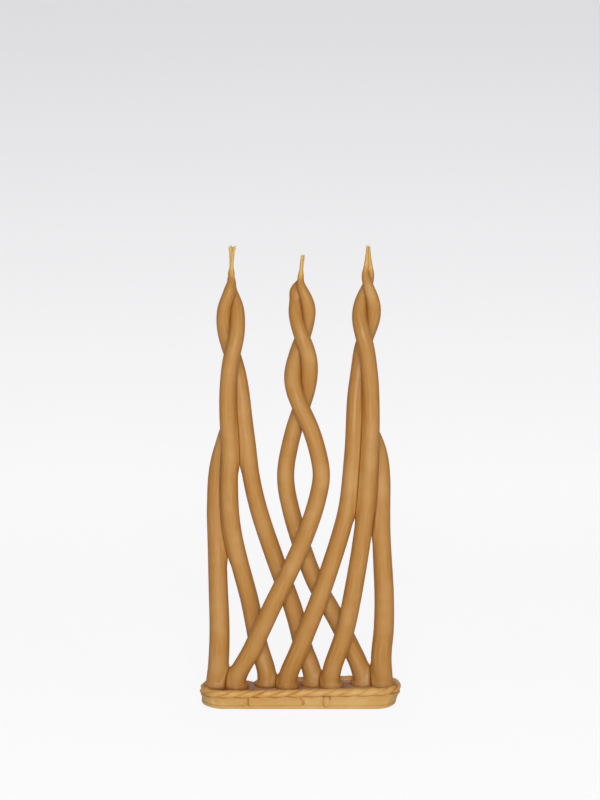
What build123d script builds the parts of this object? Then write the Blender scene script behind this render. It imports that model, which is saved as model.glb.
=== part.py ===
from build123d import *

import math
import os
from collections import namedtuple

# Havdalah candle of eight dipped beeswax tapers, woven, twisted into three tops and set in a roped wax base.
# Millimetres, +Z up, origin in the middle of the underside. X runs along the base, -Y is the front.
# Tapers are numbered 1 to 8 from the left at their feet, and each carries its own cotton wick.

# Base: a plate, a band standing on it, wax poured inside the band, and a rope laid on the band
BASE_LENGTH = 111.4  # overall, at the rope
BASE_DEPTH = 30.0  # overall, at the rope
PLATE_THICKNESS = 1.8
PLATE_LIP = 0.4  # the plate shows this much past the band
PLATE_ROUNDING = 0.5
BAND_THICKNESS = 1.8
BAND_HEIGHT = 5.0
FILL_DEPTH = 5.7
FILL_CLEARANCE = 0.05
SEAM_GAP = 0.3
LEFT_SEAM_X = -28.4  # front butt joint of the left and front strips
RIGHT_SEAM_X = 12.7  # front joint of the front and right strips
BACK_SEAM_X = -6.0
LAP_WIDTH = 2.7  # the right strip ends in a doubled-over lap
LAP_RAISE = 0.6

# Rope on the rim, two plies
PLY_DIAMETER = 1.8
PLY_GAP = 0.1
RIM_OVERHANG = 1.5  # the rope stands out this far past the band
ROPE_TURNS = 13
ROPE_END_GAP = 0.6
ROPE_CLEARANCE = 0.1  # between the rope and the poured wax
SECTIONS_PER_TURN = 6
TURNS_PER_LOFT = 2

# Dipped tapers
FOOT_DIAMETER = 10.5
NECK_DIAMETER = 8.6
NOSE_LENGTH = 56.0
OUTER_FOOT_DIAMETER = 11.8
OUTER_NECK_DIAMETER = 9.0
OUTER_NOSE_LENGTH = 40.0
PRESS_GAP = 0.15  # between tapers that are pressed together
SOCKET_CLEARANCE = 0.2
SOCKET_SECTIONS = 4  # a foot's socket follows the taper for this many sections above the poured wax
FOOT_MARGIN = 0.2  # wax left between the outer sockets and the band
INNER_PAIR_X = 12.2  # middle of the inner pairs of feet
FOOT_LAYER = 0.3  # how far towards its own layer a woven taper is at the foot
FOOT_TRIM = 12.0  # each foot is made this much longer, and cut level where it meets the plate
SECTION_STEP = 9.0
CLOSING_LENGTH = 27.0  # below the tip, where the nose closes and winds fastest
CLOSING_STEP = 3.0

# Cotton wicks
WICK_DIAMETER = 1.5
WICK_CLEARANCE = 0.05
WICK_FOOT = 1.0  # wax left under a wick
TIP_SKIN = 0.35  # wax left round the wick at a taper's tip
WICK_CLOSING = 4.0  # height above the tip in which two bare wicks come together

# A pair that winds: at each height, the middle of the pair across and in depth, and the first taper's angle
# about it (0 is to the right, 90 at the back). The tip is where the wax ends, and the last station is
# the wick's end. A nose of greater fullness stays thick for longer before it closes on the wick.
Twist = namedtuple("Twist", "first second tip fullness stations")
LEFT = Twist(3, 5, 235.0, 4.2, [
    (142, -33.6, 0.8, 190), (156, -35.0, 0.6, 204), (168, -35.7, 0.4, 217), (180, -36.3, 0.2, 239),
    (191, -37.0, 0, 270), (201, -37.4, 0, 310), (211, -37.7, 0, 352), (221, -37.6, 0, 395),
    (229, -37.4, 0, 430), (235, -37.3, 0, 455), (241, -37.1, 0, 500), (250, -36.8, 0, 535),
])
CENTRE = Twist(2, 7, 233.5, 5.8, [
    (162.5, 0.5, 0, -90), (171, 0.1, 0, -132), (180, 0.2, 0, -175), (190.5, 1.0, 0, -225),
    (200.5, 1.1, 0, -270), (208, 0.9, 0, -312), (215.5, 0.8, 0, -358), (222, 0.6, 0, -397),
    (228, 0.2, 0, -432), (233.5, 0.2, 0, -462), (239, 0.6, 0, -478), (245, 1.2, 0, -484),
])
RIGHT = Twist(4, 6, 239.0, 3.8, [
    (112, 30.8, -3.9, 172), (123, 31.8, -3.4, 166), (134, 32.7, -2.8, 164), (145, 33.4, -2.2, 163),
    (156, 33.7, -1.6, 162), (168, 33.9, -1.0, 151), (180, 34.3, -0.5, 131), (190, 34.4, 0, 111),
    (199, 34.5, 0, 90), (207, 35.1, 0, 50), (215, 35.7, 0, 5), (222, 36.0, 0, -40), (229, 36.2, 0, -85),
    (234, 36.3, 0, -125), (239, 36.4, 0, -165), (245, 36.4, 0, -175), (250, 36.4, 0, -180),
])
TWISTS = (LEFT, CENTRE, RIGHT)

# Below its twist each taper is free: across, layer (-1 front, 1 back, 0 in the row of feet) and height
FREE = {
    1: [(-44.8, 0, 26), (-44.4, 0, 41), (-45.2, 0.45, 65), (-45.8, 0.85, 84)],
    2: [(-32.0, -0.6, 20.5), (-27.6, -0.95, 28.5), (-15.0, -1, 55.5), (-2.3, -1, 82), (7.0, -1, 106),
        (11.2, -1, 126), (8.8, -1, 141), (4.5, -1, 154)],
    3: [(-19.6, 0.6, 19.5), (-23.0, 0.95, 30), (-28.0, 1, 55.5), (-33.6, 0.6, 78), (-37.4, 0.15, 97),
        (-38.6, 0, 112), (-38.7, 0, 126)],
    4: [(-5.4, -0.6, 18.5), (-2.0, -0.95, 27.5), (2.9, -1, 40), (9.0, -1, 55.5), (17.3, -1, 80),
        (22.8, -0.9, 98)],
    5: [(6.2, 0.6, 17), (2.6, 0.93, 26), (-4.0, 1, 51), (-14.4, 1, 80), (-22.5, 0.7, 105),
        (-26.8, 0.4, 124)],
    6: [(17.4, -0.6, 19), (21.0, -0.96, 31), (24.6, -1, 42.3), (29.3, -1, 66.6), (33.4, -1, 92)],
    7: [(33.0, 0.6, 17.5), (28.5, 0.93, 28), (19.0, 1, 46.7), (7.9, 1, 66.8), (-1.6, 1, 93), (-6.6, 1, 112),
        (-8.2, 1, 124), (-6.8, 1, 137), (-2.5, 1, 154)],
    8: [(44.3, 0, 24), (45.6, 0, 41), (45.9, 0, 57), (45.0, 0, 80), (44.3, -0.06, 98)],
}

# The two outer tapers end against a twisted one: which, the tip's height and fullness, and at each height
# the side that they press
Pressed = namedtuple("Pressed", "against tip fullness sides")
PRESSED = {
    1: Pressed(3, 156.0, 3.0, [(97, 152), (111, 143), (125, 138), (139, 128), (156, 105)]),
    8: Pressed(6, 154.0, 3.0, [(112, 29), (126, 38), (139, 50), (154, 75)]),
}

# Values that follow from the sizes above
ROPE_RADIUS = PLY_DIAMETER + PLY_GAP / 2
BAND_LENGTH = BASE_LENGTH - 2 * RIM_OVERHANG
BAND_DEPTH = BASE_DEPTH - 2 * RIM_OVERHANG
BAND_TOP = PLATE_THICKNESS + BAND_HEIGHT
FILL_LENGTH = BAND_LENGTH - 2 * (BAND_THICKNESS + FILL_CLEARANCE)
FILL_WIDTH = BAND_DEPTH - 2 * (BAND_THICKNESS + FILL_CLEARANCE)
FILL_TOP = PLATE_THICKNESS + FILL_DEPTH
TIP_DIAMETER = WICK_DIAMETER + 2 * TIP_SKIN
UP = Vector(0, 0, 1)
BACK = Vector(0, 1, 0)
SLOPE_STEP = 0.05  # height step for the direction of a taper
DISC_ARCS = 3


def ending(number):
    """What a taper ends in: the twist that it winds in, or the rest against another taper."""
    return PRESSED[number] if number in PRESSED else twist_of(number)


def tip_height(number):
    """Height at which a taper's wax ends."""
    return ending(number).tip


def twist_of(number):
    """The twist that a taper winds in."""
    return next(twist for twist in TWISTS if number in (twist.first, twist.second))


def taper_diameter(number, height):
    """A dipped taper narrows evenly from its foot and closes on the wick in a long nose."""
    outer = number in PRESSED
    foot = OUTER_FOOT_DIAMETER if outer else FOOT_DIAMETER
    neck = OUTER_NECK_DIAMETER if outer else NECK_DIAMETER
    nose = OUTER_NOSE_LENGTH if outer else NOSE_LENGTH
    tip = tip_height(number)
    body = foot + (neck - foot) * (height - PLATE_THICKNESS) / (tip - PLATE_THICKNESS)
    along_nose = max(0.0, (height - (tip - nose)) / nose)
    return TIP_DIAMETER + (body - TIP_DIAMETER) * (1 - along_nose ** ending(number).fullness)


def thickness(number, height):
    """Wax diameter up to the tip, closing to the bare wick above it."""
    above_tip = height - tip_height(number)
    if above_tip <= 0:
        return taper_diameter(number, height)
    return WICK_DIAMETER + (TIP_DIAMETER - WICK_DIAMETER) * max(0.0, 1 - above_tip / WICK_CLOSING)


def smooth(knots, height):
    """Smooth curve through (height, value) knots."""
    lower = min(max(sum(knot[0] <= height for knot in knots) - 1, 0), len(knots) - 2)
    slopes = []
    for index in (lower, lower + 1):
        before, after = knots[max(index - 1, 0)], knots[min(index + 1, len(knots) - 1)]
        slopes.append((after[1] - before[1]) / (after[0] - before[0]))
    (start, first), (end, last) = knots[lower], knots[lower + 1]
    rise = end - start
    u = (height - start) / rise
    change = last - first
    bend = u * (1 - u) * ((slopes[0] * rise - change) * (1 - u) + (change - slopes[1] * rise) * u)
    return first + change * u + bend


def foot_x(number):
    """The outer feet stand inside the band's ends, and every other foot is pressed to its partner."""
    outer_x = FILL_LENGTH / 2 - FOOT_MARGIN - SOCKET_CLEARANCE - OUTER_FOOT_DIAMETER / 2
    beside_outer = outer_x - (OUTER_FOOT_DIAMETER + FOOT_DIAMETER) / 2 - PRESS_GAP
    half_pair = (FOOT_DIAMETER + PRESS_GAP) / 2
    row = (outer_x, beside_outer, INNER_PAIR_X + half_pair, INNER_PAIR_X - half_pair)
    return -row[number - 1] if number <= len(row) else row[-1 - (number - 1) % len(row)]


def layer_depth(number, layer, height):
    """Depth of a taper in the front or back layer of the weave, which touch where tapers cross."""
    return layer * (taper_diameter(number, height) + PRESS_GAP) / 2


def winding_centre(number, height):
    """Middle of one taper of a twist, half a thickness from the middle of the pair."""
    twist = twist_of(number)
    middle_x, middle_y, turn = (
        smooth([(station[0], station[column]) for station in twist.stations], height) for column in (1, 2, 3)
    )
    reach = (thickness(number, height) + PRESS_GAP) / 2 * (1 if number == twist.first else -1)
    angle = math.radians(turn)
    return Vector(middle_x + reach * math.cos(angle), middle_y + reach * math.sin(angle), height)


def pressed_centre(number, height):
    """Middle of an outer taper where it lies against a twisted one."""
    rest = PRESSED[number]
    beside = centre(rest.against, height)
    reach = (taper_diameter(number, height) + taper_diameter(rest.against, height)) / 2 + PRESS_GAP
    angle = math.radians(smooth(rest.sides, height))
    return Vector(beside.X + reach * math.cos(angle), beside.Y + reach * math.sin(angle), height)


def centre(number, height):
    """Middle of a taper and of its wick at a height: free from the foot up, then pressed or winding."""
    if number in PRESSED:
        joined, joined_centre = PRESSED[number].sides[0][0], pressed_centre
    else:
        joined, joined_centre = twist_of(number).stations[0][0], winding_centre
    if height >= joined:
        return joined_centre(number, height)
    first_x, first_layer, first_level = FREE[number][0]
    foot_layer = math.copysign(FOOT_LAYER, first_layer) if first_layer else 0
    mirrored = (first_x, first_layer, 2 * PLATE_THICKNESS - first_level)  # so the foot stands upright
    points = [mirrored, (foot_x(number), foot_layer, PLATE_THICKNESS), *FREE[number]]
    across = [(level, x) for x, layer, level in points]
    depth = [(level, layer_depth(number, layer, level)) for x, layer, level in points]
    for level in (joined, joined + SECTION_STEP):
        ahead = joined_centre(number, level)
        across.append((level, ahead.X))
        depth.append((level, ahead.Y))
    return Vector(smooth(across, height), smooth(depth, height), height)


def even_levels(start, end, step):
    """Even heights from start to end, about a step apart."""
    count = math.ceil((end - start) / step)
    return [start + (end - start) * index / count for index in range(count + 1)]


def levels(number, start, end):
    """Heights of the sections along a taper, closer together where its nose closes."""
    closing = tip_height(number) - CLOSING_LENGTH
    return even_levels(start, closing, SECTION_STEP) + even_levels(closing, end, CLOSING_STEP)[1:]


def taper_levels(number):
    """Heights of a taper's sections, from below the plate, where its foot is cut, to its tip."""
    return levels(number, PLATE_THICKNESS - FOOT_TRIM, tip_height(number))


def disc(diameter):
    """Round face with a rim of three arcs, so that a loft through such faces has three long sides."""
    arc = 360 / DISC_ARCS
    return Face(Wire([CenterArc((0, 0), diameter / 2, arc * index, arc) for index in range(DISC_ARCS)]))


def round_loft(number, heights, diameter_at):
    """Round solid along a taper's middle, square to it at every section."""
    sections = []
    for height in heights:
        along = centre(number, height + SLOPE_STEP) - centre(number, height - SLOPE_STEP)
        plane = Plane(centre(number, height), x_dir=BACK.cross(along), z_dir=along)
        sections.append(plane * disc(diameter_at(height)))
    return loft(sections)


def wick_levels(number):
    """Heights of a wick, from just above the foot to its free end, or to the tip where a taper is pressed."""
    top = tip_height(number) if number in PRESSED else twist_of(number).stations[-1][0]
    return levels(number, PLATE_THICKNESS + WICK_FOOT, top)


def make_taper(number):
    """Wax of one taper, with the bore that its wick fills."""
    wax = round_loft(number, taper_levels(number), lambda height: taper_diameter(number, height))
    wax = split(wax, Plane.XY.offset(PLATE_THICKNESS), keep=Keep.TOP)
    bore_diameter = WICK_DIAMETER + 2 * WICK_CLEARANCE
    return wax - round_loft(number, wick_levels(number), lambda height: bore_diameter)


def make_wick(number):
    """Cotton wick along the middle of a taper."""
    return round_loft(number, wick_levels(number), lambda height: WICK_DIAMETER)


def make_plate():
    """Flat wax sheet under everything, with a soft edge."""
    outline = SlotOverall(BAND_LENGTH + 2 * PLATE_LIP, BAND_DEPTH + 2 * PLATE_LIP)
    plate = extrude(outline, PLATE_THICKNESS)
    return fillet(plate.faces().sort_by(Axis.Z)[-1].edges(), PLATE_ROUNDING)


def make_fill():
    """Wax poured inside the band, round the feet of the tapers and up to the rope."""
    fill = Pos(0, 0, PLATE_THICKNESS) * extrude(SlotOverall(FILL_LENGTH, FILL_WIDTH), FILL_DEPTH)
    path = rim_path()
    fill -= sweep(Plane(path @ 0, z_dir=path % 0) * Circle(ROPE_RADIUS + ROPE_CLEARANCE), path)
    for number in FREE:
        socket_end = FILL_TOP + SOCKET_SECTIONS * SECTION_STEP
        heights = [height for height in taper_levels(number) if height < socket_end]
        around_foot = 2 * SOCKET_CLEARANCE
        fill -= round_loft(number, heights, lambda height: taper_diameter(number, height) + around_foot)
    return fill


def make_band():
    """Three strips on edge round the base: left, front and right, with two seams in front and one behind."""
    outside = SlotOverall(BAND_LENGTH, BAND_DEPTH)
    inside = SlotOverall(BAND_LENGTH - 2 * BAND_THICKNESS, BAND_DEPTH - 2 * BAND_THICKNESS)
    ring = extrude(outside - inside, BAND_HEIGHT)
    for seam_x, side in ((LEFT_SEAM_X, -1), (RIGHT_SEAM_X, -1), (BACK_SEAM_X, 1)):
        cut = Box(SEAM_GAP, BAND_DEPTH / 2, BAND_HEIGHT, align=(Align.CENTER, Align.MIN, Align.MIN))
        ring -= Pos(seam_x, 0 if side > 0 else -BAND_DEPTH / 2, 0) * cut
    strips = ring.solids()
    left = strips.sort_by(Axis.X)[0]
    right = strips.sort_by(Axis.X)[-1]
    front = strips.sort_by(Axis.Y)[0]
    lap = Box(LAP_WIDTH, LAP_RAISE + BAND_THICKNESS, BAND_HEIGHT, align=(Align.MIN, Align.MIN, Align.MIN))
    right += Pos(RIGHT_SEAM_X + SEAM_GAP / 2, -BAND_DEPTH / 2 - LAP_RAISE, 0) * lap
    return [Pos(0, 0, PLATE_THICKNESS) * strip for strip in (left, front, right)]


def rim_path():
    """Middle of the rope, from the middle of the back round the left end, the front and the right end."""
    end_radius = BASE_DEPTH / 2 - ROPE_RADIUS
    half_straight = (BASE_LENGTH - BASE_DEPTH) / 2
    flat = Wire([
        Line((0, end_radius), (-half_straight, end_radius)),
        CenterArc((-half_straight, 0), end_radius, 90, 180),
        Line((-half_straight, -end_radius), (half_straight, -end_radius)),
        CenterArc((half_straight, 0), end_radius, 270, 180),
        Line((half_straight, end_radius), (0, end_radius)),
    ])
    return Pos(0, 0, BAND_TOP + ROPE_RADIUS) * flat


def make_ply(phase):
    """One ply of the rope, wound once round the rim with its ends at the middle of the back."""
    rim = rim_path()
    end_share = ROPE_END_GAP / 2 / rim.length
    count = ROPE_TURNS * SECTIONS_PER_TURN
    reach = (PLY_DIAMETER + PLY_GAP) / 2
    points = []
    for index in range(count + 1):
        share = end_share + (1 - 2 * end_share) * index / count
        turn = phase + 2 * math.pi * ROPE_TURNS * index / count
        outward = (rim % share).cross(UP)
        points.append(rim @ share + (outward * math.cos(turn) + UP * math.sin(turn)) * reach)
    path = Spline(points)
    sections = []
    for point in points:
        along = path % path.param_at_point(point)
        sections.append(Plane(point, x_dir=UP.cross(along), z_dir=along) * disc(PLY_DIAMETER))
    stretch = TURNS_PER_LOFT * SECTIONS_PER_TURN
    stretches = [loft(sections[start : start + stretch + 1]) for start in range(0, count, stretch)]
    return stretches[0].fuse(*stretches[1:])


def make_pieces():
    """Every piece of the candle by name."""
    pieces = {"base_plate": make_plate(), "base_fill": make_fill()}
    pieces.update(zip(("band_left", "band_front", "band_right"), make_band()))
    pieces["rim_ply_a"] = make_ply(0)
    pieces["rim_ply_b"] = make_ply(math.pi)
    for number in FREE:
        pieces[f"taper_{number}"] = make_taper(number)
        pieces[f"wick_{number}"] = make_wick(number)
    return pieces


if __name__ == "__main__":
    os.makedirs("parts", exist_ok=True)
    for name, piece in make_pieces().items():
        export_step(piece, f"parts/{name}.step")
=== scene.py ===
import math

import bpy
import numpy as np
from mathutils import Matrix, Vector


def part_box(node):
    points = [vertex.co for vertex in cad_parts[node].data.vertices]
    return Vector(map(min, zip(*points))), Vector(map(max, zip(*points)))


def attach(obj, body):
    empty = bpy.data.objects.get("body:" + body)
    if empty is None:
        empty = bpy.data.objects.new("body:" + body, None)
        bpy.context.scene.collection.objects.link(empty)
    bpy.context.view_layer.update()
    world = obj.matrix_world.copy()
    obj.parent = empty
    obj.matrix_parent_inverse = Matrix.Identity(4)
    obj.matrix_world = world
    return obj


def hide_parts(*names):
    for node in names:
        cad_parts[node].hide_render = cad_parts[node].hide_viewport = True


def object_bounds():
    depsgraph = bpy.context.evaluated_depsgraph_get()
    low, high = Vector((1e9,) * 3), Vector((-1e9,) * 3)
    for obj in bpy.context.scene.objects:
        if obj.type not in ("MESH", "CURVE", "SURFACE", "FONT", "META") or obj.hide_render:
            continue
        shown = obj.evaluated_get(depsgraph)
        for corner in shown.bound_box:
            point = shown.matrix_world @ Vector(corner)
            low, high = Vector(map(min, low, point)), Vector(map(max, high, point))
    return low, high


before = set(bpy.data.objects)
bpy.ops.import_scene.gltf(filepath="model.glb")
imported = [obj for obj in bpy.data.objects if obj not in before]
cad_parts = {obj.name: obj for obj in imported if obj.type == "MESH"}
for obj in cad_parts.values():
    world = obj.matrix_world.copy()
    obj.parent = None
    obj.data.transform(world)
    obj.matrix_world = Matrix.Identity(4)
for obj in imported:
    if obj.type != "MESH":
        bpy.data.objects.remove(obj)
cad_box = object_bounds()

# The foot of the candle: a thin sheet of beeswax, cut to a long outline with round ends and pressed under
# everything else while warm. Its lip shows as a soft, slightly wavy line along the bottom of the base.

MM = 0.001


def tone(red, green, blue):
    """A colour as it is seen, from 0 to 255, as the shader wants it."""
    linear = [((c / 255 + 0.055) / 1.055) ** 2.4 if c > 10 else c / 255 / 12.92 for c in (red, green, blue)]
    return (*linear, 1.0)


def add(tree, kind, inputs=None, **settings):
    """A node, with its inputs joined to other nodes' sockets or set to plain values."""
    node = tree.nodes.new(kind)
    for key, value in settings.items():
        setattr(node, key, value)
    for key, value in (inputs or {}).items():
        if isinstance(value, bpy.types.NodeSocket):
            tree.links.new(value, node.inputs[key])
        else:
            node.inputs[key].default_value = value
    return node


def new_tree(name, kind, inputs, outputs):
    """A node tree with named sockets. Each input is a name, a kind and, where it has one, a usual value."""
    tree = bpy.data.node_groups.new(name, kind)
    for label, socket, *usual in inputs:
        made = tree.interface.new_socket(label, in_out="INPUT", socket_type="NodeSocket" + socket)
        if usual:
            made.default_value = usual[0]
    for label, socket in outputs:
        tree.interface.new_socket(label, in_out="OUTPUT", socket_type="NodeSocket" + socket)
    return tree, tree.nodes.new("NodeGroupInput").outputs, tree.nodes.new("NodeGroupOutput")


def maths(tree, operation, *values):
    """One sum on numbers."""
    return add(tree, "ShaderNodeMath", dict(enumerate(values)), operation=operation).outputs[0]


def vectors(tree, operation, *values):
    """One sum on vectors."""
    return add(tree, "ShaderNodeVectorMath", dict(enumerate(values)), operation=operation).outputs[0]


def scaled(tree, vector, factor):
    """A vector made longer or shorter."""
    return add(tree, "ShaderNodeVectorMath", {0: vector, "Scale": factor}, operation="SCALE").outputs[0]


def spread(tree, value, low, high, to_low=0.0, to_high=1.0, **settings):
    """A value stretched from one range to another, and held inside it."""
    ranges = {0: value, 1: low, 2: high, 3: to_low, 4: to_high}
    return add(tree, "ShaderNodeMapRange", ranges, **settings).outputs[0]


def noise(tree, place, scale, detail, seed=None):
    """Soft random values from a place and, where one is given, a seed."""
    inputs = {"Vector": place, "Scale": scale, "Detail": detail}
    if seed is None:
        return add(tree, "ShaderNodeTexNoise", inputs).outputs[0]
    return add(tree, "ShaderNodeTexNoise", {**inputs, "W": seed}, noise_dimensions="4D").outputs[0]


def carried(tree, label):
    """A value that every point of a piece carries."""
    return add(tree, "GeometryNodeInputNamedAttribute", {"Name": label}, data_type="FLOAT").outputs[0]


def end_tree(tree, given, made, geometry):
    """Ends a tree: what it made is realized and given its material."""
    whole = add(tree, "GeometryNodeRealizeInstances", {"Geometry": geometry})
    dressed = add(tree, "GeometryNodeSetMaterial", {"Geometry": whole.outputs[0], "Material": given["Material"]})
    tree.links.new(dressed.outputs[0], made.inputs[0])


# Warm wax is never quite even, and where two pieces are pressed together it runs into the gap.
# Each point moves half way to its neighbour, fully in the inner third of the joint's reach and not at all
# in its outer quarter, and it remembers how deep in a joint it lies, which the wax finish paints as shade.
SOFT_INPUTS = [
    ("Beside", "Object"), ("Reach", "Float", 0.003), ("Unevenness", "Float", 0.0001),
    ("Uneven Length", "Float", 0.012), ("Seed", "Float", 0.0), ("Material", "Material"),
]
lump_stretch = (1.0, 1.0, 0.35)
least_shade = 0.7
run_full, run_out = 0.34, 0.72
half_way, run_over = 0.5, 0.05 * MM

soft_wax, given, made = new_tree(
    "soft_wax", "GeometryNodeTree", [("Geometry", "Geometry"), *SOFT_INPUTS], [("Geometry", "Geometry")])
place = add(soft_wax, "GeometryNodeInputPosition").outputs[0]
stretched = vectors(soft_wax, "MULTIPLY", place, lump_stretch)
lumps = noise(soft_wax, stretched, maths(soft_wax, "DIVIDE", 1.0, given["Uneven Length"]), 2.0, given["Seed"])
lump = maths(soft_wax, "MULTIPLY", maths(soft_wax, "MULTIPLY_ADD", lumps, 2.0, -1.0), given["Unevenness"])
beside = add(soft_wax, "GeometryNodeObjectInfo", {"Object": given["Beside"]}, transform_space="ORIGINAL")
nearest = add(soft_wax, "GeometryNodeProximity", {0: beside.outputs["Geometry"]}, target_element="FACES")
gap = nearest.outputs["Distance"]
softness = carried(soft_wax, "softness")
reach = maths(soft_wax, "MULTIPLY", given["Reach"], softness)
shade = maths(soft_wax, "MULTIPLY", given["Reach"], maths(soft_wax, "MAXIMUM", softness, least_shade))
short = maths(soft_wax, "MAXIMUM", maths(soft_wax, "SUBTRACT", shade, gap), 0.0)
filled = spread(
    soft_wax, gap, maths(soft_wax, "MULTIPLY", reach, run_full), maths(soft_wax, "MULTIPLY", reach, run_out),
    1.0, 0.0, interpolation_type="SMOOTHSTEP")
run = maths(soft_wax, "MULTIPLY", filled, maths(soft_wax, "MULTIPLY_ADD", gap, half_way, run_over))
normal = add(soft_wax, "GeometryNodeInputNormal").outputs[0]
outwards = scaled(soft_wax, normal, maths(soft_wax, "ADD", lump, run))
marked = add(soft_wax, "GeometryNodeStoreNamedAttribute", {
    "Geometry": given["Geometry"], "Name": "joint_depth", "Value": maths(soft_wax, "DIVIDE", short, shade),
}, data_type="FLOAT", domain="POINT")
moved = add(soft_wax, "GeometryNodeSetPosition", {"Geometry": marked.outputs[0], "Offset": outwards})
smoothed = add(soft_wax, "GeometryNodeSetShadeSmooth", {"Geometry": moved.outputs[0]})
end_tree(soft_wax, given, made, smoothed.outputs[0])


def soften_and_end(tree, given, made, geometry):
    """Ends a tree: its wax is made soft, realized and given its material."""
    soft = add(tree, "GeometryNodeGroup", {"Geometry": geometry}, node_tree=soft_wax)
    for label, *_ in SOFT_INPUTS:
        tree.links.new(given[label], soft.inputs[label])
    end_tree(tree, given, made, soft.outputs[0])


# A strip of wax: a profile carried round the rim, upright all the way, and thinner where its fullness is less.
wax_strip, given, made = new_tree(
    "wax_strip", "GeometryNodeTree",
    [("Geometry", "Geometry"), ("Profile", "Object"), *SOFT_INPUTS],
    [("Geometry", "Geometry")],
)
way = add(wax_strip, "GeometryNodeMeshToCurve", {0: given["Geometry"]})
upright = add(wax_strip, "GeometryNodeSetCurveNormal", {"Curve": way.outputs[0]}, mode="Z_UP")
profile = add(wax_strip, "GeometryNodeObjectInfo", {"Object": given["Profile"]}, transform_space="ORIGINAL")
section = add(wax_strip, "GeometryNodeMeshToCurve", {0: profile.outputs["Geometry"]})
strip = add(wax_strip, "GeometryNodeCurveToMesh", {
    "Curve": upright.outputs[0], "Profile Curve": section.outputs[0], "Scale": carried(wax_strip, "fullness"),
    "Fill Caps": True,
})
closed = add(wax_strip, "GeometryNodeMergeByDistance", {"Geometry": strip.outputs[0], "Distance": 1e-5})
soften_and_end(wax_strip, given, made, closed.outputs[0])


def polyline(name, points, closed, **attributes):
    """A line of points as a mesh, with a value at each point for every attribute."""
    mesh = bpy.data.meshes.new(name)
    edges = [(i, i + 1) for i in range(len(points) - 1)] + ([(len(points) - 1, 0)] if closed else [])
    mesh.from_pydata([tuple(p) for p in points], edges, [])
    attributes.setdefault("softness", np.ones(len(points)))
    for label, values in attributes.items():
        mesh.attributes.new(label, "FLOAT", "POINT").data.foreach_set("value", np.asarray(values, np.float32))
    return mesh


def helper(name, mesh):
    """An object that a tree reads while a piece is made, and that is then thrown away."""
    thing = bpy.data.objects.new(name, mesh)
    bpy.context.scene.collection.objects.link(thing)
    return thing


def corners_of(mesh):
    """The corners of a mesh, a row each."""
    co = np.zeros(len(mesh.vertices) * 3)
    mesh.vertices.foreach_get("co", co)
    return co.reshape(-1, 3)


def put_corners(mesh, corners):
    """Moves the corners of a mesh to new places."""
    mesh.vertices.foreach_set("co", corners.ravel())
    mesh.update()


def faces_of(mesh):
    """The triangles of a mesh, as rows of the numbers of their corners."""
    mesh.calc_loop_triangles()
    tri = np.zeros(len(mesh.loop_triangles) * 3, np.int32)
    mesh.loop_triangles.foreach_get("vertices", tri)
    return tri.reshape(-1, 3)


def neighbours(*names, shown=None):
    """What a piece lies against, joined: the solids, or the meshes shown in their place."""
    solids = [(shown or {}).get(name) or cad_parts[name].data for name in names]
    starts = np.cumsum([0] + [len(solid.vertices) for solid in solids])
    corners = np.concatenate([corners_of(solid) for solid in solids])
    faces = np.concatenate([faces_of(solid) + start for solid, start in zip(solids, starts)]).astype(np.int32)
    mesh = bpy.data.meshes.new("beside")
    mesh.vertices.add(len(corners))
    mesh.vertices.foreach_set("co", corners.ravel())
    mesh.loops.add(faces.size)
    mesh.loops.foreach_set("vertex_index", faces.ravel())
    mesh.polygons.add(len(faces))
    mesh.polygons.foreach_set("loop_start", np.arange(0, faces.size, 3, dtype=np.int32))
    mesh.update(calc_edges=True)
    return helper("beside", mesh)


def grow(name, mesh, tree, **values):
    """A piece that a node tree makes from a line, as a plain mesh."""
    piece = helper(name, mesh)
    modifier = piece.modifiers.new(tree.name, "NODES")
    modifier.node_group = tree
    for socket in tree.interface.items_tree:
        if socket.in_out == "INPUT" and socket.name in values:
            modifier[socket.identifier] = values[socket.name]
    now = bpy.context.evaluated_depsgraph_get()
    grown = piece.evaluated_get(now)
    plain = bpy.data.meshes.new_from_object(grown, preserve_all_data_layers=True, depsgraph=now)
    piece.modifiers.clear()
    piece.data = plain
    bpy.data.meshes.remove(mesh)
    for thing in [v for v in values.values() if isinstance(v, bpy.types.Object)]:
        bpy.data.meshes.remove(thing.data)
    return piece


def stand_for(piece, slot, *nodes):
    """The piece rides with the candle and shows in place of its solids."""
    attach(piece, "root")
    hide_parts(*nodes)


def ramp(values, start, length):
    """Nothing up to a start, and all from a length after it."""
    return np.clip((values - start) / length, 0, 1)


def set_by_eye(piece):
    """The base was put together by eye: its rim rises to the right, its right end is pressed in
    and both ends curl up."""
    rim_rise, end_press, end_curl = 0.9 * MM, 2.4 * MM, 0.7 * MM
    x, y, z = corners_of(piece.data).T
    share = x / cad_box[1].x
    low = 1 - ramp(z, 0, 6.5 * MM)
    rise = rim_rise * share * ramp(z, 1.5 * MM, 6 * MM)
    press = end_press * ramp(share, 0.6, 0.4) ** 2 * low
    curl = end_curl * ramp(abs(share), 0.7, 0.3) ** 2 * low
    put_corners(piece.data, np.stack([x - press, y, z + rise + curl], 1))


def rim_line(half_length, half_depth, height, spacing=0.7 * MM):
    """Points round a long outline with round ends, from the middle of the back by the left end,
    the front and the right end."""
    half_straight = half_length - half_depth
    straight = max(2, round(half_straight / spacing))
    arc = max(8, round(math.pi * half_depth / spacing))
    along = np.linspace(0, half_straight, straight, endpoint=False)
    turn = np.linspace(math.pi / 2, 3 * math.pi / 2, arc, endpoint=False)
    front = np.linspace(-half_straight, half_straight, 2 * straight, endpoint=False)
    across = np.concatenate([-along, -half_straight + half_depth * np.cos(turn), front,
                             half_straight - half_depth * np.cos(turn), half_straight - along])
    depth = np.concatenate([np.full(straight, half_depth), half_depth * np.sin(turn),
                            np.full(2 * straight, -half_depth), -half_depth * np.sin(turn),
                            np.full(straight, half_depth)])
    return np.stack([across, depth, np.full(len(across), height)], 1)


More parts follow.
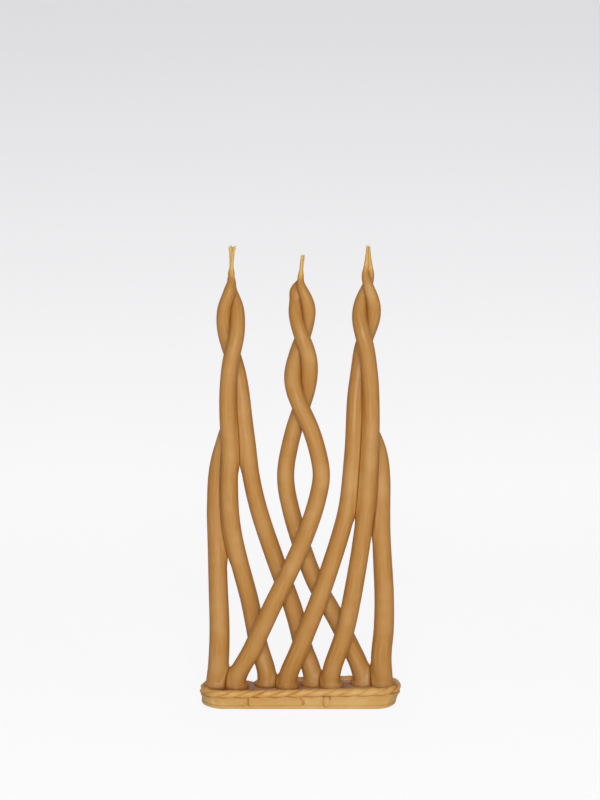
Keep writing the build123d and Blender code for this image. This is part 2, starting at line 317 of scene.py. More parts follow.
def blend(tree, share, first, second):
    """A mix of two colours."""
    node = add(tree, "ShaderNodeMix", {"Factor": share}, data_type="RGBA")
    for socket, value in ((node.inputs[6], first), (node.inputs[7], second)):
        if isinstance(value, bpy.types.NodeSocket):
            tree.links.new(value, socket)
        else:
            socket.default_value = value
    return node.outputs[2]


# Beeswax as all the pieces have it: patches of paler bloom, fine streaks down the piece from dipping and
# drawing, a few pits, and a yellower tone where the wax is thin on the wick. Painted shade: a deeper, redder
# tone where two pieces run together and in the pits.
patch_scale, streak_scale, grain_scale, dent_scale = 45.0, 900.0, 1600.0, 260.0
most_bloom, most_streak, most_crease_shade, most_pit_shade, most_thin = 0.55, 0.5, 0.95, 0.5, 0.9
streak_relief, dent_relief, grain_relief = 0.35, 0.8, 0.12
thin_tone = tone(222, 180, 100)

wax_skin, given, made = new_tree(
    "wax_skin", "ShaderNodeTree",
    [("Wax", "Color"), ("Deep", "Color"), ("Bloom", "Color"), ("Joint Depth", "Float", 0.0), ("Thin", "Float", 0.0),
     ("Drawn", "Vector"), ("Streaks", "Float", 0.5), ("Satin", "Float", 0.4)],
    [("Color", "Color"), ("Roughness", "Float"), ("Height", "Float")],
)
place = add(wax_skin, "ShaderNodeTexCoord").outputs["Object"]
patches = noise(wax_skin, place, patch_scale, 3.0)
streaks = noise(wax_skin, given["Drawn"], streak_scale, 3.0)
grain = noise(wax_skin, place, grain_scale, 2.0)
dents = noise(wax_skin, place, dent_scale, 1.0)
bloom = spread(wax_skin, patches, 0.42, 0.72, 0.0, most_bloom)
streaked = maths(wax_skin, "MULTIPLY", spread(wax_skin, streaks, 0.45, 0.75), given["Streaks"])
paler = maths(wax_skin, "MAXIMUM", bloom, maths(wax_skin, "MULTIPLY", streaked, most_streak))
bloomed = blend(wax_skin, paler, given["Wax"], given["Bloom"])
# Painted shade: joints and pits are blended towards the deep colour.
deep = spread(wax_skin, given["Joint Depth"], 0.4, 1.0, 0.0, most_crease_shade)
pits = spread(wax_skin, grain, 0.30, 0.22, 0.0, most_pit_shade)
coloured = blend(wax_skin, maths(wax_skin, "MAXIMUM", deep, pits), bloomed, given["Deep"])
thinned = maths(wax_skin, "ADD", given["Thin"], maths(wax_skin, "MULTIPLY", streaks, 0.4))
coloured = blend(wax_skin, spread(wax_skin, thinned, 0.3, 1.2, 0.0, most_thin), coloured, thin_tone)
rough = maths(wax_skin, "ADD", given["Satin"], spread(wax_skin, patches, 0.3, 0.7, -0.05, 0.08))
relief = maths(wax_skin, "ADD", maths(wax_skin, "MULTIPLY", streaked, streak_relief),
               maths(wax_skin, "MULTIPLY", dents, dent_relief))
relief = maths(wax_skin, "ADD", relief, maths(wax_skin, "MULTIPLY", grain, grain_relief))
for socket, value in zip(made.inputs, (coloured, rough, relief)):
    wax_skin.links.new(value, socket)


def settle(node, values):
    """Plain values for some of a node's inputs."""
    for label, value in values.items():
        node.inputs[label].default_value = value


def beeswax(name, wax, deep, bloom, streaks=0.5, satin=0.42, sheen=0.25, strand=False):
    """A beeswax finish: satin, a little see-through, with streaks down the piece or, on a strand, along it."""
    ring_width, streak_length = 5 * MM, 0.06
    # Painted shade on the edges turned away from the camera: its tone, and how much of it, most on a strand.
    edge_shade_tone, edge_shade_share = tone(172, 104, 40), 0.6 if strand else 0.2
    material = bpy.data.materials.new(name)
    material.use_nodes = True
    tree = material.node_tree
    shader = tree.nodes["Principled BSDF"]
    skin = add(tree, "ShaderNodeGroup", node_tree=wax_skin)
    for label, attribute in (("Joint Depth", "joint_depth"), ("Thin", "thin_wax")):
        value = add(tree, "ShaderNodeAttribute", attribute_name=attribute).outputs["Fac"]
        tree.links.new(value, skin.inputs[label])
    if strand:
        around = add(tree, "ShaderNodeAttribute", attribute_name="ring_place").outputs["Vector"]
        along = add(tree, "ShaderNodeAttribute", attribute_name="along").outputs["Fac"]
        drawn_out = maths(tree, "MULTIPLY", along, streak_length)
        lengthwise = add(tree, "ShaderNodeCombineXYZ", {"Z": drawn_out}).outputs[0]
        drawn = vectors(tree, "ADD", vectors(tree, "MULTIPLY", around, (ring_width, ring_width, 0.0)), lengthwise)
    else:
        place = add(tree, "ShaderNodeTexCoord").outputs["Object"]
        drawn = add(tree, "ShaderNodeMapping", {"Vector": place, "Scale": (0.1, 0.1, 1.0)}).outputs[0]
    tree.links.new(drawn, skin.inputs["Drawn"])
    # The deep colour is the painted shade of joints and pits.
    settle(skin, {"Wax": wax, "Deep": deep, "Bloom": bloom, "Streaks": streaks, "Satin": satin})
    bump = add(tree, "ShaderNodeBump", {"Height": skin.outputs["Height"], "Strength": 0.35, "Distance": 0.0004})
    # Painted shade: the colour darkens towards the edges that turn away from the camera.
    turned = add(tree, "ShaderNodeLayerWeight", {"Blend": 0.5}).outputs["Facing"]
    edge_shaded = blend(tree, spread(tree, turned, 0.15, 0.8, 0.0, edge_shade_share), skin.outputs["Color"], edge_shade_tone)
    tree.links.new(edge_shaded, shader.inputs["Base Color"])
    tree.links.new(skin.outputs["Roughness"], shader.inputs["Roughness"])
    tree.links.new(bump.outputs[0], shader.inputs["Normal"])
    settle(shader, {
        "Subsurface Weight": 0.12, "Subsurface Radius": (1.0, 0.45, 0.15), "Subsurface Scale": 0.0016,
        "IOR": 1.44, "Specular IOR Level": sheen, "Coat Weight": 0.1, "Coat Roughness": 0.24})
    return material


def squared(value, power):
    """A sine or cosine pushed outwards, which gives a round section flatter sides."""
    return math.copysign(abs(value) ** power, value)


# Its second tone is painted shade for joints and pits.
base_wax = beeswax("base_wax", tone(200, 157, 91), tone(190, 138, 72), tone(217, 183, 124), streaks=0.5, satin=0.42)

plate_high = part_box("base_plate")[1]
plate_half, plate_top = plate_high.y, plate_high.z
plate_squareness = 0.6
lip, lip_room, plate_hole = 0.9 * MM, 0.25 * MM, 0.4 * MM
round_edge = [(squared(math.cos(a), plate_squareness), squared(math.sin(a), plate_squareness))
              for a in np.linspace(math.pi / 2, -math.pi / 2, 13)]
inside = np.linspace(-(plate_half - lip), -plate_hole, 12)
plate_profile = ([(x, -plate_top, 0) for x in inside]
                 + [(lip * c, -plate_top / 2 - plate_top / 2 * s, 0) for c, s in round_edge]
                 + [(x, 0, 0) for x in inside[::-1]])
plate_line = rim_line(plate_high.x - lip - lip_room, plate_half - lip - lip_room, 0.0)
plate = grow(
    "base_plate_wax", polyline("plate_line", plate_line, True, fullness=np.ones(len(plate_line))), wax_strip,
    Profile=helper("plate_profile", polyline("plate_profile", plate_profile, False)),
    Beside=neighbours("band_left", "band_front", "band_right"),
    Reach=0.05 * MM, Unevenness=0.16 * MM, **{"Uneven Length": 9 * MM, "Seed": 3.0, "Material": base_wax},
)
set_by_eye(plate)
stand_for(plate, "band_wax", "base_plate")

# The wall of the base: three strips of sheet wax stood on edge round the plate and pressed on with the thumbs.
# Two meet in front in a butt joint, the third is doubled over where it ends, and one joint is at the back.

band_front_low, band_front_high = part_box("band_front")
band_left_low, band_left_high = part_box("band_left")
band_bottom, band_top = band_front_low.z, band_front_high.z
band_half_depth = -band_front_low.y
band_half_length = -band_left_low.x
band_thick = band_front_high.y - band_front_low.y
left_seam, right_seam, back_seam = band_front_low.x, band_front_high.x, band_left_high.x
lap_width, lap_raise, lap_slope = 2.9 * MM, 0.8 * MM, 0.5 * MM
band_step = 0.45 * MM
end_thinning, end_length = 0.16, 1.0 * MM

# Thumb marks, in millimetres: place along the strip, height, width and depth.
front_marks = (
    (-46, 3.4, 5.0, 0.8), (-36, 4.6, 3.5, 0.3), (-20, 3.6, 4.0, 0.35), (-9, 4.6, 3.5, 0.3),
    (21, 4.4, 4.5, 0.4), (33, 4.8, 4.0, 0.35), (46, 4.2, 5.0, 0.8),
)
back_marks = ((-40, 4.0, 4.0, 0.4), (-17, 4.4, 3.5, 0.35), (8, 3.8, 4.5, 0.4), (29, 4.4, 4.0, 0.35))


def band_profile():
    """Section of a strip: a thin upright with rubbed corners, a little fuller at the middle of its outer side."""
    half_thick, half_high = band_thick / 2, (band_top - band_bottom) / 2
    fuller, taller = 0.12, 1.04
    around = np.linspace(0, 2 * math.pi, 36, endpoint=False)
    return [(half_thick * squared(math.cos(a), 0.5) * (1 + fuller * math.cos(a)),
             half_high * taller * squared(math.sin(a), 0.35), 0) for a in around]


def bell(values, level, length):
    """One at a level, and less and less away from it."""
    return np.exp(-((values - level) / length) ** 2)


def pressed(x, z, marks):
    """How deep the thumbs went in at each point."""
    mark_high = 2.0
    return sum(deep * bell(x, at_x, width) * bell(z, at_z, mark_high) for at_x, at_z, width, deep in marks)


def thumb_marks(strip):
    """Dents where the strip was pressed on, and the hooked crease in the front strip, with painted shade along it.
    """
    mesh = strip.data
    x, y, z = corners_of(mesh).T / MM
    face_zone, hook_low, hook_high, hook_swing = 1.6, 2.2, 6.2, 0.9
    face = band_half_depth / MM - face_zone
    front, behind = y < -face, y > face
    hook_z = np.linspace(hook_low, hook_high, 30)
    hook_x = hook_swing + hook_swing * np.sin((hook_z - hook_low) * 1.3)
    away = np.min(np.hypot(x[:, None] - hook_x, z[:, None] - hook_z), axis=1)
    crease_depth, crease_width, welt_height, welt_away, welt_width = 0.8, 0.55, 0.3, 1.3, 0.6
    crease = crease_depth * bell(away, 0, crease_width) - welt_height * bell(away, welt_away, welt_width)
    push = pressed(x, z, front_marks) + crease + np.where(behind, pressed(x, z, back_marks), 0)
    # The crease is marked as a joint, so that the wax finish paints shade along it.
    joint = mesh.attributes["joint_depth"].data
    depth = np.zeros(len(x))
    joint.foreach_get("value", depth)
    joint.foreach_set("value", np.maximum(depth, np.where(front, np.exp(-(away / 0.9) ** 4), 0)))
    y = y + np.where(front, push, 0) - np.where(behind, push, 0)
    put_corners(mesh, np.stack([x, y, z], 1) * MM)


centre_line = rim_line(
    band_half_length - band_thick / 2, band_half_depth - band_thick / 2, (band_bottom + band_top) / 2, band_step)
front_side = centre_line[:, 1] < 0
band_runs = {
    "band_left": (centre_line[:, 0] < back_seam) & ~(front_side & (centre_line[:, 0] > left_seam)),
    "band_front": front_side & (centre_line[:, 0] > left_seam) & (centre_line[:, 0] < right_seam),
    "band_right": ~((centre_line[:, 0] < back_seam) | (front_side & (centre_line[:, 0] < right_seam))),
}
for seed, (node, kept) in enumerate(band_runs.items()):
    line = centre_line[kept].copy()
    if node == "band_right":
        start = int(np.argmax(front_side[kept]))
        line = np.roll(line, -start, axis=0)
        run = np.cumsum(np.linalg.norm(np.diff(line, axis=0, prepend=line[:1]), axis=1))
        line[:, 1] -= lap_raise * (1 - ramp(run, lap_width - lap_slope, lap_slope))
    ends = np.minimum(np.arange(len(line)), np.arange(len(line))[::-1]) * band_step
    full = 1 - end_thinning * (1 - ramp(ends, 0, end_length)) ** 2
    strip = grow(
        f"{node}_strip", polyline(node, line, False, fullness=full), wax_strip,
        Profile=helper("band_profile", polyline("band_profile", band_profile(), True)),
        Beside=neighbours("rim_ply_a", "rim_ply_b", *[other for other in band_runs if other != node]),
        Reach=3.4 * MM, Unevenness=0.32 * MM, **{"Uneven Length": 8 * MM, "Seed": 11.0 + seed, "Material": base_wax},
    )
    thumb_marks(strip)
    set_by_eye(strip)
    stand_for(strip, "band_wax", node)

# The wax poured inside the band, level and browner than the rest, which holds the feet of the tapers.
# It has crept up each foot and up to the rope while it set.

# Its second tone is painted shade for joints and pits.
fill_wax = beeswax(
    "fill_wax", tone(180, 139, 104), tone(176, 122, 70), tone(186, 146, 112), streaks=0.0, satin=0.42, sheen=0.12)
fill_low, fill_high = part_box("base_fill")
fill_half_depth = fill_high.y
fill_higher, fill_edge = 1.0 * MM, 0.3 * MM
fill_across = np.linspace(-fill_half_depth, -fill_edge, 30)
fill_deep = fill_high.z + fill_higher - fill_low.z
fill_profile = ([(x, -fill_deep, 0) for x in fill_across] + [(0, -fill_deep + fill_edge, 0), (0, -fill_edge, 0)]
                + [(x, 0, 0) for x in fill_across[::-6]])
fill_line = rim_line(fill_high.x, fill_half_depth, fill_low.z, 0.6 * MM)
tapers = [f"taper_{number}" for number in range(1, 9)]
fill = grow(
    "poured_wax", polyline("fill_line", fill_line, True, fullness=np.ones(len(fill_line))), wax_strip,
    Profile=helper("fill_profile", polyline("fill_profile", fill_profile, False)),
    Beside=neighbours(*tapers, "rim_ply_a", "rim_ply_b"),
    Reach=4.4 * MM, Unevenness=0.12 * MM, **{"Uneven Length": 14 * MM, "Seed": 21.0, "Material": fill_wax},
)
set_by_eye(fill)
stand_for(fill, "fill_wax", "base_fill")

# The rope on the rim: two thin rolls of warm wax twisted together, laid once round on the top of the band
# and pressed down, so that its lay shows as soft slanting ridges.

rope_ply, given, made = new_tree(
    "rope_ply", "GeometryNodeTree",
    [("Geometry", "Geometry"), ("Turns", "Float", 13.0), ("Phase", "Float", 0.0), ("Ply Offset", "Float", 0.00095),
     ("Ply Radius", "Float", 0.0009), ("Looseness", "Float", 0.5), ("Melt Seed", "Float", 0.0), ("Sides", "Int", 20),
     *SOFT_INPUTS],
    [("Geometry", "Geometry")],
)
way = add(rope_ply, "GeometryNodeMeshToCurve", {0: given["Geometry"]})
place = add(rope_ply, "GeometryNodeInputPosition").outputs[0]
loose = noise(rope_ply, place, 55.0, 1.0, given["Seed"])
wander = maths(rope_ply, "MULTIPLY", maths(rope_ply, "MULTIPLY_ADD", loose, 2.0, -1.0), given["Looseness"])
melts = noise(rope_ply, place, 60.0, 1.0, given["Melt Seed"])
offset = maths(rope_ply, "MULTIPLY", given["Ply Offset"], spread(rope_ply, melts, 0.38, 0.58, 0.25, 1.1))
share = add(rope_ply, "GeometryNodeSplineParameter").outputs["Factor"]
turn = maths(rope_ply, "MULTIPLY", maths(rope_ply, "MULTIPLY", share, given["Turns"]), 2 * math.pi)
turn = maths(rope_ply, "ADD", maths(rope_ply, "ADD", turn, given["Phase"]), wander)
tangent = add(rope_ply, "GeometryNodeInputTangent").outputs[0]
outward = vectors(rope_ply, "CROSS_PRODUCT", tangent, (0.0, 0.0, 1.0))
aside = scaled(rope_ply, outward, maths(rope_ply, "MULTIPLY", maths(rope_ply, "COSINE", turn), offset))
up = scaled(rope_ply, (0.0, 0.0, 1.0), maths(rope_ply, "MULTIPLY", maths(rope_ply, "SINE", turn), offset))
wound = add(rope_ply, "GeometryNodeSetPosition", {
    "Geometry": way.outputs[0], "Offset": vectors(rope_ply, "ADD", aside, up)})
roll = add(rope_ply, "GeometryNodeCurvePrimitiveCircle", {"Resolution": given["Sides"], "Radius": 1.0})
lost = maths(rope_ply, "SUBTRACT", given["Ply Offset"], offset)
ply_size = maths(rope_ply, "MULTIPLY", maths(rope_ply, "ADD", given["Ply Radius"], lost),
                 maths(rope_ply, "MULTIPLY_ADD", loose, 0.4, 0.8))
ply = add(rope_ply, "GeometryNodeCurveToMesh", {
    "Curve": wound.outputs[0], "Profile Curve": roll.outputs[0], "Scale": ply_size})
soften_and_end(rope_ply, given, made, ply.outputs[0])

# Its second tone is painted shade for joints and pits.
rope_wax = beeswax("rope_wax", tone(208, 162, 88), tone(190, 134, 66), tone(219, 184, 122), streaks=0.2, satin=0.38)
rope_low, rope_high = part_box("rim_ply_a")
rope_middle = (rope_low.z + rope_high.z) / 2
rope_half = (rope_high.z - rope_low.z) / 2
rope_inset = rope_half + 0.3 * MM
rope_turns, ply_offset_share, ply_radius_share = 13.0, 0.42, 0.6
# At the back left the rope has sunk into the warm band: at a place, over a length, by a height.
sunk_at, sunk_length, sunk_by = -25 * MM, 13 * MM, 1.8 * MM
for phase, node in ((0.0, "rim_ply_a"), (math.pi, "rim_ply_b")):
    line = rim_line(rope_high.x - rope_inset, rope_high.y - rope_inset, rope_middle, 0.5 * MM)
    line[:, 2] -= sunk_by * np.where(line[:, 1] > 0, bell(line[:, 0], sunk_at, sunk_length), 0)
    other = "rim_ply_b" if node == "rim_ply_a" else "rim_ply_a"
    ply = grow(
        f"{node}_roll", polyline(node, line, True), rope_ply, Turns=rope_turns, Phase=phase, Looseness=1.6, Sides=20,
        Beside=neighbours(other, "band_left", "band_front", "band_right", "base_fill"),
        Reach=3.2 * MM, Unevenness=0.3 * MM,
        **{"Melt Seed": 7.0, "Ply Offset": rope_half * ply_offset_share, "Ply Radius": rope_half * ply_radius_share,
           "Uneven Length": 5 * MM, "Seed": 31.0, "Material": rope_wax},
    )
    set_by_eye(ply)
    stand_for(ply, "rope_wax", node)

# The eight tapers: cotton wicks dipped over and over in beeswax and bent while warm. They are woven across
# each other, wound in pairs into three tops and pressed together where they touch, so that the wax of
# neighbours runs together.

wax_strand, given, made = new_tree(
    "wax_strand", "GeometryNodeTree",
    [("Geometry", "Geometry"), ("Sides", "Int", 44), *SOFT_INPUTS],
    [("Geometry", "Geometry")],
)
way = add(wax_strand, "GeometryNodeMeshToCurve", {0: given["Geometry"]})
length_along = add(wax_strand, "GeometryNodeSplineParameter").outputs["Length"]
measured = add(wax_strand, "GeometryNodeStoreNamedAttribute", {
    "Geometry": way.outputs[0], "Name": "along", "Value": length_along}, data_type="FLOAT", domain="POINT")
ring = add(wax_strand, "GeometryNodeCurvePrimitiveCircle", {"Resolution": given["Sides"], "Radius": 1.0})
place = add(wax_strand, "GeometryNodeInputPosition").outputs[0]
placed = add(wax_strand, "GeometryNodeStoreNamedAttribute", {
    "Geometry": ring.outputs[0], "Name": "ring_place", "Value": place}, data_type="FLOAT_VECTOR", domain="POINT")
strand = add(wax_strand, "GeometryNodeCurveToMesh", {
    "Curve": measured.outputs[0], "Profile Curve": placed.outputs[0], "Scale": carried(wax_strand, "thickness"),
    "Fill Caps": True})
soften_and_end(wax_strand, given, made, strand.outputs[0])


def triangles_of(node):
    """The corners of every triangle of a solid."""
    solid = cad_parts[node].data
    return corners_of(solid)[faces_of(solid)]


def level_cut(triangles, height):
    """Middles and lengths of the short lines in which a level plane cuts a solid's surface."""
    above = triangles[:, :, 2] > height
    cut = above.any(1) & ~above.all(1)
    triangles, above = triangles[cut], above[cut]
    alone = np.where(above.sum(1) == 1, above.argmax(1), (~above).argmax(1))
    row = np.arange(len(alone))
    apex = triangles[row, alone]
    ends = []
    for step in (1, 2):
        other = triangles[row, (alone + step) % 3]
        ends.append(apex + (other - apex) * ((height - apex[:, 2]) / (other[:, 2] - apex[:, 2]))[:, None])
    return (ends[0] + ends[1]) / 2, np.linalg.norm(ends[1] - ends[0], axis=1)


def middle_line(node, heights):
    """The middle of a round solid at each height."""
    triangles = triangles_of(node)
    middles = []
    for height in heights:
        points, lengths = level_cut(triangles, height)
        middles.append((points * lengths[:, None]).sum(0) / lengths.sum())
    return np.array(middles)


def outer_radius(node, middles, inner):
    """The half thickness of a round solid square to its middle line, leaving out what lies nearer than inner."""
    triangles = triangles_of(node)
    along = np.gradient(middles, axis=0)
    along /= np.linalg.norm(along, axis=1)[:, None]
    radii = []
    for middle, direction in zip(middles, along):
        points, lengths = level_cut(triangles, middle[2])
        out = points - middle
        out -= (out @ direction)[:, None] * direction
        away = np.linalg.norm(out, axis=1)
        far = away > inner
        radii.append((away[far] * lengths[far]).sum() / lengths[far].sum())
    return np.array(radii)


# Its second tone is painted shade for joints and pits.
taper_wax = beeswax(
    "taper_wax", tone(178, 126, 60), tone(134, 78, 34), tone(205, 163, 104), streaks=1.0, satin=0.4, strand=True)
strand_step, tip_gap, past_bore = 0.9 * MM, 0.8 * MM, 0.95 * MM
wick_lines, waxed_radii = {}, {}
for number in range(1, 9):
    wick_low, wick_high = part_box(f"wick_{number}")
    heights = np.arange(wick_low.z + 0.6 * MM, wick_high.z - 0.4 * MM, strand_step)
    wick_lines[number] = middle_line(f"wick_{number}", heights)
    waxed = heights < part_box(f"taper_{number}")[1].z - tip_gap
    waxed_radii[number] = outer_radius(f"taper_{number}", wick_lines[number][waxed], past_bore)

# How the wicks of each pair stand: how far apart at the tip of the wax and at their ends, as a share of two
# round wicks side by side, their half thickness there, and how high the wax has run up on them.
# The pair is wound tighter where it was pinched: at a height, over a length, by a share. Its nose was given
# a last turn, in degrees, with the fingers.
pairs = {
    (3, 5): dict(apart=(0.55, 1.25), half=(0.62 * MM, 0.7 * MM), climb=4.5 * MM,
                 pinch=(212 * MM, 12 * MM, 0.05), wind=24),
    (2, 7): dict(apart=(0.62, 0.8), half=(0.62 * MM, 0.74 * MM), climb=4.0 * MM,
                 pinch=(210 * MM, 12 * MM, 0.12), wind=-10),
    (4, 6): dict(apart=(1.0, 0.55), half=(1.25 * MM, 0.6 * MM), climb=10.5 * MM,
                 pinch=(219 * MM, 10 * MM, 0.05), wind=-6),
}
wick_half, soaked_share = 0.7 * MM, 0.93
wick_halves = {number: np.full(len(line), wick_half) for number, line in wick_lines.items()}
climbs = {}
pinches = {number: np.ones(len(line)) for number, line in wick_lines.items()}
for (first, second), stand in pairs.items():
    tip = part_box(f"taper_{first}")[1].z
    above = wick_lines[first][:, 2] - tip
    share = np.clip(above / above.max(), 0, 1)
    near = ramp(above, -8 * MM, 8 * MM)
    level, length, tight = stand["pinch"]
    pinch = 1 - tight * bell(wick_lines[first][:, 2], level, length)
    (apart_tip, apart_end), (half_tip, half_end) = stand["apart"], stand["half"]
    spacing = pinch + near * (apart_tip + (apart_end - apart_tip) * share ** 1.5 - 1)
    middle = (wick_lines[first] + wick_lines[second]) / 2
    wound = ramp(above, -23 * MM, 14 * MM) * (1 - ramp(above, 0, 10 * MM))
    angle = math.radians(stand["wind"]) * wound * wound * (3 - 2 * wound)
    for number in (first, second):
        out = (wick_lines[number] - middle) * spacing[:, None]
        out = np.stack([out[:, 0] * np.cos(angle) - out[:, 1] * np.sin(angle),
                        out[:, 0] * np.sin(angle) + out[:, 1] * np.cos(angle), out[:, 2]], 1)
        wick_lines[number] = middle + out
        wick_halves[number] = wick_half + near * (half_tip + (half_end - half_tip) * share - wick_half)
        climbs[number] = stand["climb"]
        pinches[number] = pinch

# The noses of two tapers are blunt: fuller at a height, over a length, by a thickness, and to one side.
blunt = {7: (226.0 * MM, 4.5 * MM, 0.9 * MM, -1.3 * MM), 5: (227.0 * MM, 5.0 * MM, 0.6 * MM, 0.0)}
# Some feet were set a little to the left of where their taper comes down, and all flare in the poured wax.
foot_leans = {1: -0.5 * MM, 2: -1.4 * MM, 3: -0.3 * MM, 4: -0.9 * MM, 6: -0.5 * MM, 8: -0.3 * MM}
lean_top, lean_length = 11 * MM, 7 * MM
foot_flare, flare_length = 0.5 * MM, 2.2 * MM
# Joints are widest at the feet and narrowest in the twisted tops.
foot_softness, less_above_feet, less_in_tops = 2.2, 1.2, 0.6
# Wax this thin on a wick, or thinner, is yellow through and through.
yellow_below, yellow_over, most_yellow = 0.9 * MM, 1.5 * MM, 0.9
# Where more or less wax has run into the fork of two tapers: at a height, over a length, by a share.
forks = {
    4: [(100 * MM, 9 * MM, -0.45)],
    6: [(101 * MM, 7 * MM, -0.45), (84 * MM, 6 * MM, 0.3)],
    8: [(84 * MM, 8 * MM, 0.3)],
}
# The last taper bows a little to the left: at a height, over a length, by a distance.
bends = {8: (90 * MM, 22 * MM, -0.3 * MM)}
strands, plain = {}, {}
for number in range(1, 9):
    wax_low, wax_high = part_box(f"taper_{number}")
    middles = wick_lines[number]
    ends_bare = number in climbs
    waxed = middles[:, 2] < wax_high.z - tip_gap
    radii = waxed_radii[number] * pinches[number][waxed]
    if ends_bare:
        bare = wick_halves[number][~waxed] * soaked_share
        left = 1 - ramp(middles[~waxed][:, 2], wax_high.z, climbs[number])
        radii = np.concatenate([radii, bare + np.maximum(radii[-1] - bare[0], 0) * left ** 1.5])
        line = middles
    else:
        rounding = np.sqrt(1 - np.linspace(0.2, 0.98, 5) ** 2)
        last_step = middles[waxed][-1] - middles[waxed][-2]
        tip = middles[waxed][-1] + last_step * np.linspace(0.2, 1.2, 5)[:, None]
        line = np.concatenate([middles[waxed], tip])
        radii = np.concatenate([radii, radii[-1] * rounding])
    foot = line[0] * (1, 1, 0) + (0, 0, wax_low.z)
    line = np.concatenate([[foot], line])
    height = line[:, 2]
    line[:, 0] += foot_leans.get(number, 0) * bell(np.maximum(height - lean_top, 0), 0, lean_length)
    radii = np.concatenate([radii[:1], radii])
    radii = radii + foot_flare * bell(np.maximum(height - fill_high.z, 0), 0, flare_length)
    if number in blunt:
        level, length, fuller, aside = blunt[number]
        radii = radii + fuller * bell(height, level, length)
        line[:, 0] += aside * bell(height, level, length)
    softness = (foot_softness - less_above_feet * ramp(height, 9 * MM, 8.5 * MM)
                - less_in_tops * ramp(height, 150 * MM, 25 * MM))
    for level, length, more in forks.get(number, []):
        softness = softness + more * bell(height, level, length)
    if number in bends:
        level, length, aside = bends[number]
        line[:, 0] += aside * bell(height, level, length)
    thin_wax = (1 - ramp(radii, yellow_below, yellow_over)) * (most_yellow if ends_bare else 0.0)
    strands[number] = line, dict(thickness=radii, softness=softness, thin_wax=thin_wax)
    even = grow(
        f"taper_{number}_even", polyline(f"taper_{number}_even", line, False, thickness=radii), wax_strand, Sides=28,
        Beside=neighbours("base_plate"), Reach=0.01 * MM, Unevenness=0.0, Material=taper_wax)
    plain[f"taper_{number}"] = even.data
    bpy.data.objects.remove(even)

for number, (line, values) in strands.items():
    others = [name for name in tapers if name != f"taper_{number}"]
    taper = grow(
        f"taper_{number}_wax", polyline(f"taper_{number}", line, False, **values), wax_strand, Sides=44,
        Beside=neighbours(*others, "base_fill", shown=plain), Reach=3.4 * MM, Unevenness=0.16 * MM,
        **{"Uneven Length": 11 * MM, "Seed": 40.0 + number, "Material": taper_wax},
    )
    stand_for(taper, "taper_wax", f"taper_{number}")
for mesh in plain.values():
    bpy.data.meshes.remove(mesh)

# The wicks: cotton yarn, soaked with wax from the dipping and so yellow rather than white.
# Each runs the whole length of its taper and stands free at the tops, where the two of a pair stick together.

wick_cotton = bpy.data.materials.new("wick_cotton")
wick_cotton.use_nodes = True
tree = wick_cotton.node_tree
shader = tree.nodes["Principled BSDF"]
place = add(tree, "ShaderNodeTexCoord").outputs["Object"]
fibre_way = add(tree, "ShaderNodeMapping", {"Vector": place, "Scale": (1.0, 1.0, 0.15)}).outputs[0]
fibres = noise(tree, fibre_way, 3500.0, 3.0)
soaked = noise(tree, place, 400.0, 2.0)
yarn = blend(tree, spread(tree, fibres, 0.35, 0.7), tone(210, 168, 92), tone(240, 216, 156))
yarn = blend(tree, spread(tree, soaked, 0.5, 0.8, 0.0, 0.6), yarn, tone(208, 160, 80))
bump = add(tree, "ShaderNodeBump", {"Height": fibres, "Strength": 0.6, "Distance": 0.0002})
tree.links.new(yarn, shader.inputs["Base Color"])
tree.links.new(bump.outputs[0], shader.inputs["Normal"])
tree.links.new(spread(tree, soaked, 0.3, 0.7, 0.45, 0.7), shader.inputs["Roughness"])
settle(shader, {
    "Subsurface Weight": 0.3, "Subsurface Radius": (1.0, 0.5, 0.2), "Subsurface Scale": 0.0012})

# Cotton yarn: a core down the whole wick, and where it stands free the plies wound round it, opening at the
# cut end.
wick_yarn, given, made = new_tree(
    "wick_yarn", "GeometryNodeTree",
    [("Geometry", "Geometry"), ("Bare Line", "Object"), ("Plies", "Int", 6), ("Lay Turns", "Float", 2.0),
     ("Ply Radius", "Float", 0.0003), ("Opening", "Float", 0.0008), ("Seed", "Int", 0), ("Material", "Material")],
    [("Geometry", "Geometry")],
)
thickness = carried(wick_yarn, "thickness")
way = add(wick_yarn, "GeometryNodeMeshToCurve", {0: given["Geometry"]})
core_ring = add(wick_yarn, "GeometryNodeCurvePrimitiveCircle", {"Resolution": 12, "Radius": 0.8})
core = add(wick_yarn, "GeometryNodeCurveToMesh", {
    "Curve": way.outputs[0], "Profile Curve": core_ring.outputs[0], "Scale": thickness, "Fill Caps": True})
bare_line = add(wick_yarn, "GeometryNodeObjectInfo", {"Object": given["Bare Line"]}, transform_space="ORIGINAL")
bare_way = add(wick_yarn, "GeometryNodeMeshToCurve", {0: bare_line.outputs["Geometry"]})
plies = add(wick_yarn, "GeometryNodeDuplicateElements", {
    "Geometry": bare_way.outputs[0], "Amount": given["Plies"]}, domain="SPLINE")
index = plies.outputs["Duplicate Index"]
share = add(wick_yarn, "GeometryNodeSplineParameter").outputs["Factor"]
turn = maths(wick_yarn, "ADD", maths(wick_yarn, "DIVIDE", index, given["Plies"]),
             maths(wick_yarn, "MULTIPLY", share, given["Lay Turns"]))
turn = maths(wick_yarn, "MULTIPLY", turn, 2 * math.pi)
chance = add(wick_yarn, "FunctionNodeRandomValue", {
    "Min": (-1.0, -1.0, -0.9), "Max": (1.0, 1.0, 0.3), "ID": index, "Seed": given["Seed"],
}, data_type="FLOAT_VECTOR").outputs[0]
opening = maths(wick_yarn, "MULTIPLY", maths(wick_yarn, "POWER", share, 6.0), given["Opening"])
ply_way = add(wick_yarn, "ShaderNodeCombineXYZ", {
    "X": maths(wick_yarn, "COSINE", turn), "Y": maths(wick_yarn, "SINE", turn)}).outputs[0]
wound = scaled(wick_yarn, ply_way, maths(wick_yarn, "SUBTRACT", thickness, given["Ply Radius"]))
loose = scaled(wick_yarn, chance, opening)
